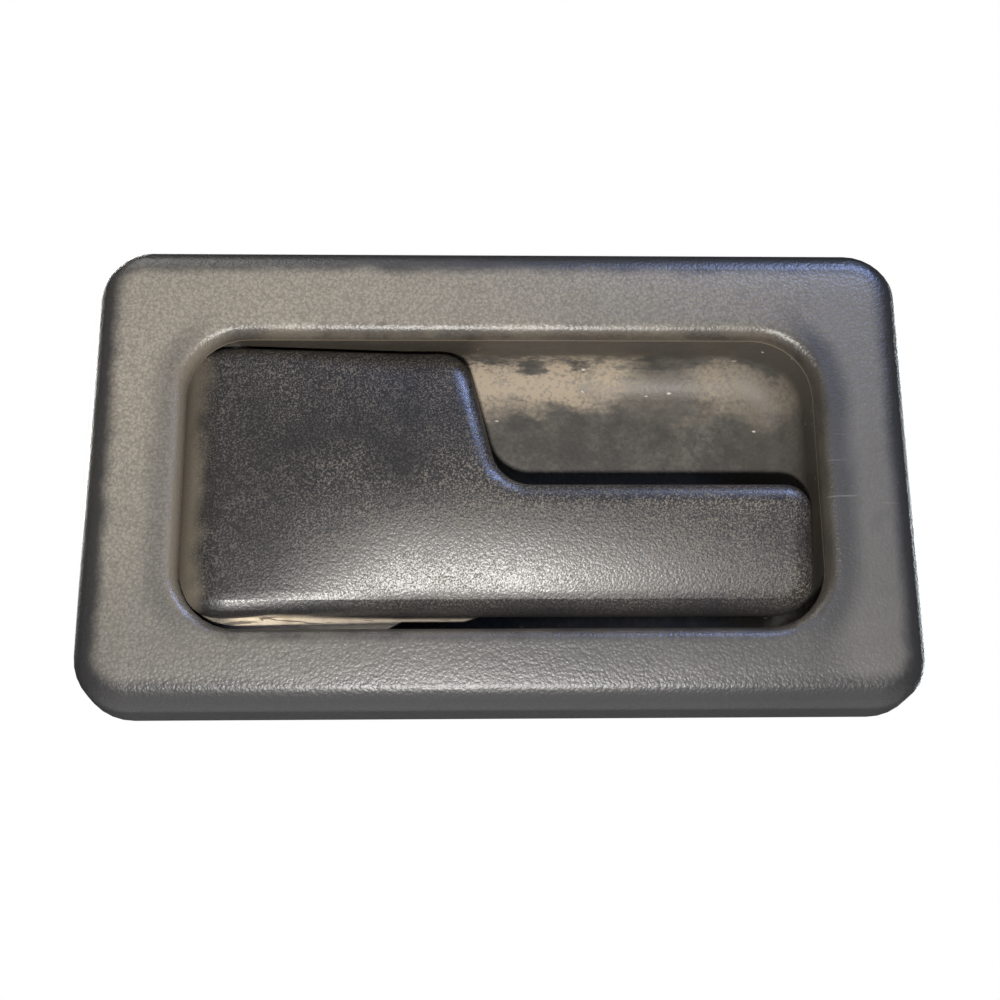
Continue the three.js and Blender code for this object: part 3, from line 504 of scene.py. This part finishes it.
scratch = trim.fade(trim.noise(90, 1.0, 0.4, (1, 1, 26)), 0.735, 0.76)
scratch_where = trim.fade(trim.noise(60, 2.0, 0.5), 0.52, 0.66)
scratch = trim.calc("MULTIPLY", scratch, trim.calc("MULTIPLY", scratch_where, 0.35))
shade = trim.blend(scratch, shade, (0.22, 0.21, 0.20))
trim.feed(trim.shader.inputs["Base Color"], shade)
gloss = trim.calc("ADD", 0.27, trim.calc("MULTIPLY", patches, 0.12))
gloss = trim.calc("ADD", gloss, trim.calc("MULTIPLY", fine, 0.14))
trim.feed(trim.shader.inputs["Roughness"], gloss)
trim.shader.inputs["Specular IOR Level"].default_value = 0.55
trim.bump(trim.calc("ADD", trim_grain, trim.calc("MULTIPLY", fine, 0.8)), 0.00005, 0.8)
dress(bezel_piece, trim)
print(trim.material.name, "nodes:", len(trim.tree.nodes))

# %% [markdown]
# ## The lever's dark plastic
# The lever is darker than the bezel and satin from use. Its grain is worn smooth in
# patches, with pale brown specks of dust left in the creases, which also carry painted
# shade. The rounded hinge end never meets a finger, so pale dust stays at its edge; just
# inside that edge it carries painted shade, where it turns away from the light. Pale dust
# coats the skirt that points down. Its left half is paler and cracked.

# %% Lever finish
grip = Finish("worn lever plastic")
grip_grain = grip.leather(2300)
worn = grip.noise(45, 3.0, 0.6)
shade = grip.blend(worn, (0.013, 0.013, 0.015), (0.034, 0.032, 0.031))
fine = grip.noise(4000, 2.0, 0.6)
speck = grip.fade(fine, 0.50, 0.60)
speck_where = grip.fade(grip.noise(45, 3.0, 0.6), 0.25, 0.65)
above_roll = grip.fade(grip.z, -19 * MM, -16 * MM)
speck_where = grip.calc("MULTIPLY", speck_where, grip.calc("ADD", 0.25, above_roll))
speck_share = grip.calc("MULTIPLY", speck, grip.calc("MULTIPLY", speck_where, 0.7), clamp=True)
shade = grip.blend(speck_share, shade, (0.150, 0.128, 0.102))
# Painted shade: the creases of the grain are darker.
crease = grip.fade(grip_grain, 1.0, 0.6)
shade = grip.blend(grip.calc("MULTIPLY", crease, 0.4), shade, (0.008, 0.008, 0.009))

# %% [markdown]
# ## The hinge end and the skirt
# The lever has painted shade towards its hinge end and then turns pale with dust at the very edge.
# The skirt below it is tan with cracks, and that colour stops about halfway along.

# %% Lever wear
hub_edge = grip.calc("ADD", grip.x, grip.calc("MULTIPLY", grip.noise(160), 0.005))
# Painted shade towards the hinge end, where the surface turns away from the light.
hub_shadow = grip.fade(hub_edge, -28 * MM, -38 * MM)
shade = grip.blend(grip.calc("MULTIPLY", hub_shadow, 0.5), shade, (0.018, 0.017, 0.016))
hub_dust = grip.fade(hub_edge, -40.5 * MM, -44.2 * MM)
shade = grip.blend(grip.calc("MULTIPLY", hub_dust, 0.75), shade, (0.135, 0.115, 0.086))
skirt = grip.fade(grip.y, lever_y + 2.1 * MM, lever_y + 2.5 * MM)
skirt = grip.calc("MULTIPLY", skirt, grip.fade(grip.z, -19.4 * MM, -20.1 * MM))
skirt_tan = grip.blend(
    grip.fade(grip.noise(220, 4.0, 0.7), 0.35, 0.7), (0.58, 0.50, 0.39), (0.36, 0.30, 0.22)
)
crack = grip.fade(grip.noise(130, 2.0, 0.5, (1, 9, 9)), 0.635, 0.65)
skirt_tan = grip.blend(grip.calc("MULTIPLY", crack, 0.8), skirt_tan, (0.05, 0.04, 0.03))
skirt_reach = grip.fade(grip.x, 4 * MM, -6 * MM)
shade = grip.blend(grip.calc("MULTIPLY", skirt, skirt_reach), shade, skirt_tan)
grip.feed(grip.shader.inputs["Base Color"], shade)
gloss = grip.calc("ADD", 0.23, grip.calc("MULTIPLY", worn, 0.10))
gloss = grip.calc("ADD", gloss, grip.calc("MULTIPLY", fine, 0.16))
gloss = grip.calc("ADD", gloss, grip.calc("MULTIPLY", speck_share, 0.4))
gloss = grip.calc("ADD", gloss, grip.calc("MULTIPLY", hub_dust, 0.3))
gloss = grip.calc("ADD", gloss, grip.calc("MULTIPLY", skirt, 0.4), clamp=True)
grip.feed(grip.shader.inputs["Roughness"], gloss)
grip.shader.inputs["Specular IOR Level"].default_value = 0.5
grip.bump(grip.calc("ADD", grip_grain, grip.calc("MULTIPLY", fine, 0.8)), 0.000028, 0.8)
dress(lever_piece, grip)
print(grip.material.name, "nodes:", len(grip.tree.nodes))

# %% [markdown]
# ## The cup's plain plastic
# Nothing wipes the cup, so pale dust lies in patches on the soft turn above its floor,
# brown grime stains its upper wall, and fingernails and keys have nicked the floor.
# The plastic under all that is plain and only faintly textured.

# %% Cup finish
cup = Finish("dusty cup plastic")
cloud = cup.noise(110, 5.0, 0.7)
fine = cup.noise(1500, 4.0, 0.7)
shade = cup.blend(cup.fade(cloud, 0.3, 0.7), (0.048, 0.046, 0.043), (0.105, 0.099, 0.089))
smudge = cup.fade(cup.noise(320, 5.0, 0.75), 0.45, 0.62)
shade = cup.blend(cup.calc("MULTIPLY", smudge, 0.6), shade, (0.040, 0.038, 0.036))
pores = cup.calc("MULTIPLY", cup.fade(fine, 0.45, 0.65), 0.4)
shade = cup.blend(pores, shade, (0.030, 0.028, 0.026))

# %% [markdown]
# ## Dust in the cup
# The dust is a band between two heights, made wavy by a drift and a streaky noise. It
# lies only inside the cup, so it fades out behind the floor.

# %% Cup dust
drift = cup.calc("SUBTRACT", cup.noise(75, 5.0, 0.65), 0.5)
streak = cup.calc("SUBTRACT", cup.noise(420, 4.0, 0.7, (0.35, 1, 1)), 0.5)
level = cup.calc("ADD", cup.z, cup.calc("MULTIPLY", drift, 0.012))
level = cup.calc("ADD", level, cup.calc("MULTIPLY", streak, 0.007))
dust = cup.calc("MULTIPLY", cup.fade(level, 0.0135, 0.0180), cup.fade(level, 0.0230, 0.0212))
dust = cup.calc("MULTIPLY", dust, cup.fade(cup.y, -0.5 * MM, 2.5 * MM))
dust = cup.calc("MULTIPLY", dust, cup.fade(cup.y, cup_floor + 0.7 * MM, cup_floor + 0.3 * MM))
dust_map = cup.calc("ADD", cup.noise(48, 3.0, 0.5), cup.calc("MULTIPLY", streak, 0.3))
dust_where = cup.fade(dust_map, 0.36, 0.52)
dust = cup.calc("MULTIPLY", dust, cup.calc("ADD", 0.25, cup.calc("MULTIPLY", dust_where, 0.65)))
thinner = cup.calc("MULTIPLY", cup.fade(cup.x, 12 * MM, 32 * MM), 0.5)
dust = cup.calc("MULTIPLY", dust, cup.calc("SUBTRACT", 1.0, thinner))
grains = cup.calc("ADD", 0.55, cup.fade(fine, 0.35, 0.6))
dust = cup.calc("MULTIPLY", dust, grains, clamp=True)
shade = cup.blend(cup.calc("MULTIPLY", dust, 0.85), shade, (0.320, 0.265, 0.200))

# %% [markdown]
# ## Stains and nicks in the cup
# The upper wall and the far end are darker. The nicks are the centres of a few picked
# cells, which makes short pale specks.

# %% Cup wear
high_wall = cup.fade(cup.y, 3.5 * MM, 0.5 * MM)
shade = cup.blend(cup.calc("MULTIPLY", high_wall, 0.75), shade, (0.046, 0.038, 0.029))
end_shade = cup.fade(cup.x, 34 * MM, 44 * MM)
shade = cup.blend(cup.calc("MULTIPLY", end_shade, 0.55), shade, (0.045, 0.041, 0.036))
nick_cells = cup.cells(480, stretch=(0.6, 1, 1.3))
nick = cup.fade(nick_cells.outputs["Distance"], 0.14, 0.07)
nick_pick = cup.add("ShaderNodeSeparateXYZ", Vector=nick_cells.outputs["Color"]).outputs[0]
nick = cup.calc("MULTIPLY", nick, cup.fade(nick_pick, 0.80, 0.84))
nick = cup.calc("MULTIPLY", nick, cup.fade(fine, 0.42, 0.52))
shade = cup.blend(nick, shade, (0.42, 0.41, 0.39))
cup.feed(cup.shader.inputs["Base Color"], shade)
gloss = cup.calc("ADD", 0.42, cup.calc("MULTIPLY", dust, 0.4), clamp=True)
cup.feed(cup.shader.inputs["Roughness"], gloss)
cup.bump(cup.calc("ADD", fine, cup.noise(300, 3.0, 0.6)), 0.00010, 0.6)
dress(housing_piece, cup)
print(cup.material.name, "nodes:", len(cup.tree.nodes))

# %% [markdown]
# ## Metals
# The working pieces are seen only from behind or as the lever swings. Plated steel
# gets a cloudy zinc bloom with a few brown stains. Spring steel gets fine brushing and
# spots of rust.

# %% Metals
zinc = Finish("zinc plated steel")
bloom = zinc.noise(260, 4.0, 0.65)
shade = zinc.blend(bloom, (0.42, 0.39, 0.30), (0.62, 0.60, 0.52))
stain = zinc.fade(zinc.noise(110, 3.0, 0.6), 0.58, 0.72)
shade = zinc.blend(zinc.calc("MULTIPLY", stain, 0.6), shade, (0.20, 0.15, 0.09))
zinc.feed(zinc.shader.inputs["Base Color"], shade)
zinc.shader.inputs["Metallic"].default_value = 0.9
gloss = zinc.calc("ADD", 0.28, zinc.calc("MULTIPLY", bloom, 0.3))
zinc.feed(zinc.shader.inputs["Roughness"], gloss)
zinc.bump(bloom, 0.00003, 0.5)

steel = Finish("spring steel")
brush = steel.noise(500, 3.0, 0.7, (1, 1, 0.08))
shade = steel.blend(brush, (0.30, 0.30, 0.31), (0.52, 0.52, 0.53))
rust = steel.fade(steel.noise(160, 4.0, 0.7), 0.62, 0.74)
shade = steel.blend(steel.calc("MULTIPLY", rust, 0.7), shade, (0.16, 0.075, 0.035))
steel.feed(steel.shader.inputs["Base Color"], shade)
steel.shader.inputs["Metallic"].default_value = 0.95
gloss = steel.calc("ADD", 0.22, steel.calc("MULTIPLY", rust, 0.5))
steel.feed(steel.shader.inputs["Roughness"], gloss)
steel.bump(brush, 0.00002, 0.4)

print("metals:", zinc.material.name, "and", steel.material.name)

# %% [markdown]
# ## Nylon and acetal
# Natural nylon is off-white and lets a little light in under its surface. The washers
# are black acetal with a thin film of dirt.

# %% Hard plastics
nylon = Finish("natural nylon")
handling = nylon.fade(nylon.noise(180, 4.0, 0.6), 0.45, 0.75)
shade = nylon.blend(nylon.calc("MULTIPLY", handling, 0.6), (0.70, 0.66, 0.56), (0.44, 0.38, 0.28))
nylon.feed(nylon.shader.inputs["Base Color"], shade)
nylon.shader.inputs["Roughness"].default_value = 0.42
nylon.shader.inputs["Subsurface Weight"].default_value = 0.12
nylon.shader.inputs["Subsurface Radius"].default_value = (0.002, 0.0016, 0.001)
nylon.bump(nylon.noise(700, 2.0, 0.5), 0.00002, 0.4)

acetal = Finish("black acetal")
film = acetal.fade(acetal.noise(320, 4.0, 0.7), 0.4, 0.7)
shade = acetal.blend(acetal.calc("MULTIPLY", film, 0.5), (0.016, 0.016, 0.017), (0.09, 0.078, 0.06))
acetal.feed(acetal.shader.inputs["Base Color"], shade)
acetal.shader.inputs["Roughness"].default_value = 0.45
acetal.bump(acetal.noise(900, 2.0, 0.5), 0.00002, 0.4)

print("hard plastics:", nylon.material.name, "and", acetal.material.name)

# %% [markdown]
# ## Rubber and foam
# Rubber is a matt black with a grey bloom. Foam has painted shade in its pits, which are
# the cells of a fine cell pattern.

# %% Rubber and foam
rubber = Finish("moulded rubber")
bloom = rubber.noise(300, 4.0, 0.7)
shade = rubber.blend(bloom, (0.012, 0.012, 0.012), (0.05, 0.048, 0.045))
rubber.feed(rubber.shader.inputs["Base Color"], shade)
gloss = rubber.calc("ADD", 0.6, rubber.calc("MULTIPLY", bloom, 0.3))
rubber.feed(rubber.shader.inputs["Roughness"], gloss)
rubber.bump(rubber.noise(1400, 3.0, 0.6), 0.00004, 0.6)

foam = Finish("closed cell foam")
pits = foam.cells(1700)
pit_depth_and_shade = foam.fade(pits.outputs["Distance"], 0.1, 0.6)
# Painted shade: the foam is darker in its pits.
shade = foam.blend(pit_depth_and_shade, (0.012, 0.012, 0.013), (0.06, 0.06, 0.065))
foam.feed(foam.shader.inputs["Base Color"], shade)
foam.shader.inputs["Roughness"].default_value = 0.95
foam.bump(pit_depth_and_shade, 0.0002, 0.8)

print("soft materials:", rubber.material.name, "and", foam.material.name)

# %% [markdown]
# ## Giving each small piece its finish
# Each name starts with what the piece is, so a short table of starts finds the finish
# of every small piece. The spring's own wire is steel as well.

# %% Dress the small pieces
recipes = {
    "crank_arm": zinc,
    "housing_screw": zinc,
    "rod_clip": nylon,
    "grommet_nut": nylon,
    "upper_washer": acetal,
    "lower_washer": acetal,
    "rest_buffer": rubber,
    "open_stop_buffer": rubber,
    "foam_strip": foam,
    "hinge_pin": steel,
    "retaining_ring": steel,
    "crank_rivet": steel,
    "bezel_clip": steel,
}
for piece in small_pieces:
    finish = next(recipes[name] for name in recipes if piece.name.startswith(name))
    dress(piece, finish)
dress(spring_piece, steel)
print("finishes:", len(bpy.data.materials))

# %% [markdown]
# ## Floor
# A plain pale floor lies well below the handle, so that its light comes back up softly.

# %% Floor
floor_skin = bmesh.new()
FLOOR_LEVEL = -0.50
floor_place = Matrix.Translation((0, 0, FLOOR_LEVEL))
bmesh.ops.create_grid(floor_skin, x_segments=8, y_segments=8, size=0.75, matrix=floor_place)
floor_mesh = bpy.data.meshes.new("studio_floor")
floor_skin.to_mesh(floor_mesh)
floor_skin.free()
floor = bpy.data.objects.new("studio_floor", floor_mesh)
bpy.context.scene.collection.objects.link(floor)
paper = Finish("pale studio floor")
paper_tone = paper.blend(paper.noise(6, 3.0, 0.5), (0.78, 0.78, 0.77), (0.83, 0.83, 0.82))
paper.feed(paper.shader.inputs["Base Color"], paper_tone)
paper.shader.inputs["Roughness"].default_value = 0.9
dress(floor, paper)
print("floor below the handle in mm:", round((bezel_low.z - FLOOR_LEVEL) / MM))

# %% [markdown]
# ## The background
# The background is white where the camera looks straight at it, and dim for everything
# else, which keeps the deep gaps round the lever dark.

# %% Background
world = bpy.data.worlds.new("studio")
bpy.context.scene.world = world
world.use_nodes = True
sky = world.node_tree
background = sky.nodes["Background"]
background.inputs["Color"].default_value = (0.85, 0.92, 1.0, 1)
background.inputs["Strength"].default_value = 0.05
white = sky.nodes.new("ShaderNodeBackground")
white.inputs["Color"].default_value = (1, 1, 1, 1)
white.inputs["Strength"].default_value = 1.0
rays = sky.nodes.new("ShaderNodeLightPath")
either = sky.nodes.new("ShaderNodeMixShader")
sky.links.new(rays.outputs["Is Camera Ray"], either.inputs[0])
sky.links.new(background.outputs[0], either.inputs[1])
sky.links.new(white.outputs[0], either.inputs[2])
sky.links.new(either.outputs[0], sky.nodes["World Output"].inputs["Surface"])
bpy.context.scene.view_settings.view_transform = "Standard"
print("background nodes:", len(sky.nodes))

# %% [markdown]
# ## Lights
# Three lights make the picture. A small lamp just below the camera draws the bright
# streaks along the rounded edges and the short crisp shadows in the cup. A wide soft
# light from the upper left evens the flat bands. A bluish one from the upper right is
# switched off for diffuse light, so it only shows as a reflection on edges that face
# it. Two more soft lights behind the handle serve the views from the back.

# %% Lights
def aim(light, target):
    direction = Vector(target) - light.location
    light.rotation_euler = direction.to_track_quat("-Z", "Y").to_euler()


def soft_light(name, place, size, power, colour):
    data = bpy.data.lights.new(name, "AREA")
    data.shape = "DISK"
    data.size = size
    data.energy = power
    data.color = colour
    light = bpy.data.objects.new(name, data)
    light.location = place
    bpy.context.scene.collection.objects.link(light)
    aim(light, (0, 0, 0))
    return light


lamp_data = bpy.data.lights.new("low_lamp", "POINT")
lamp_data.energy = 3.4
lamp_data.color = (1.0, 0.97, 0.93)
lamp_data.shadow_soft_size = 0.006
lamp = bpy.data.objects.new("low_lamp", lamp_data)
lamp.location = (-0.005, face_y - 0.197, -0.0935)
bpy.context.scene.collection.objects.link(lamp)
soft_light("upper_left", (-0.22, -0.20, 0.52), 0.30, 1.2, (1.0, 0.97, 0.92))
sheen = soft_light("upper_right", (0.22, -0.26, 0.36), 0.14, 2.2, (0.40, 0.54, 1.0))
sheen.visible_diffuse = False
soft_light("rear_left", (-0.35, 0.45, 0.30), 0.35, 7.0, (1.0, 0.98, 0.95))
soft_light("rear_right", (0.40, 0.40, 0.10), 0.35, 4.0, (0.9, 0.95, 1.0))
print("lights:", len(bpy.data.lights))
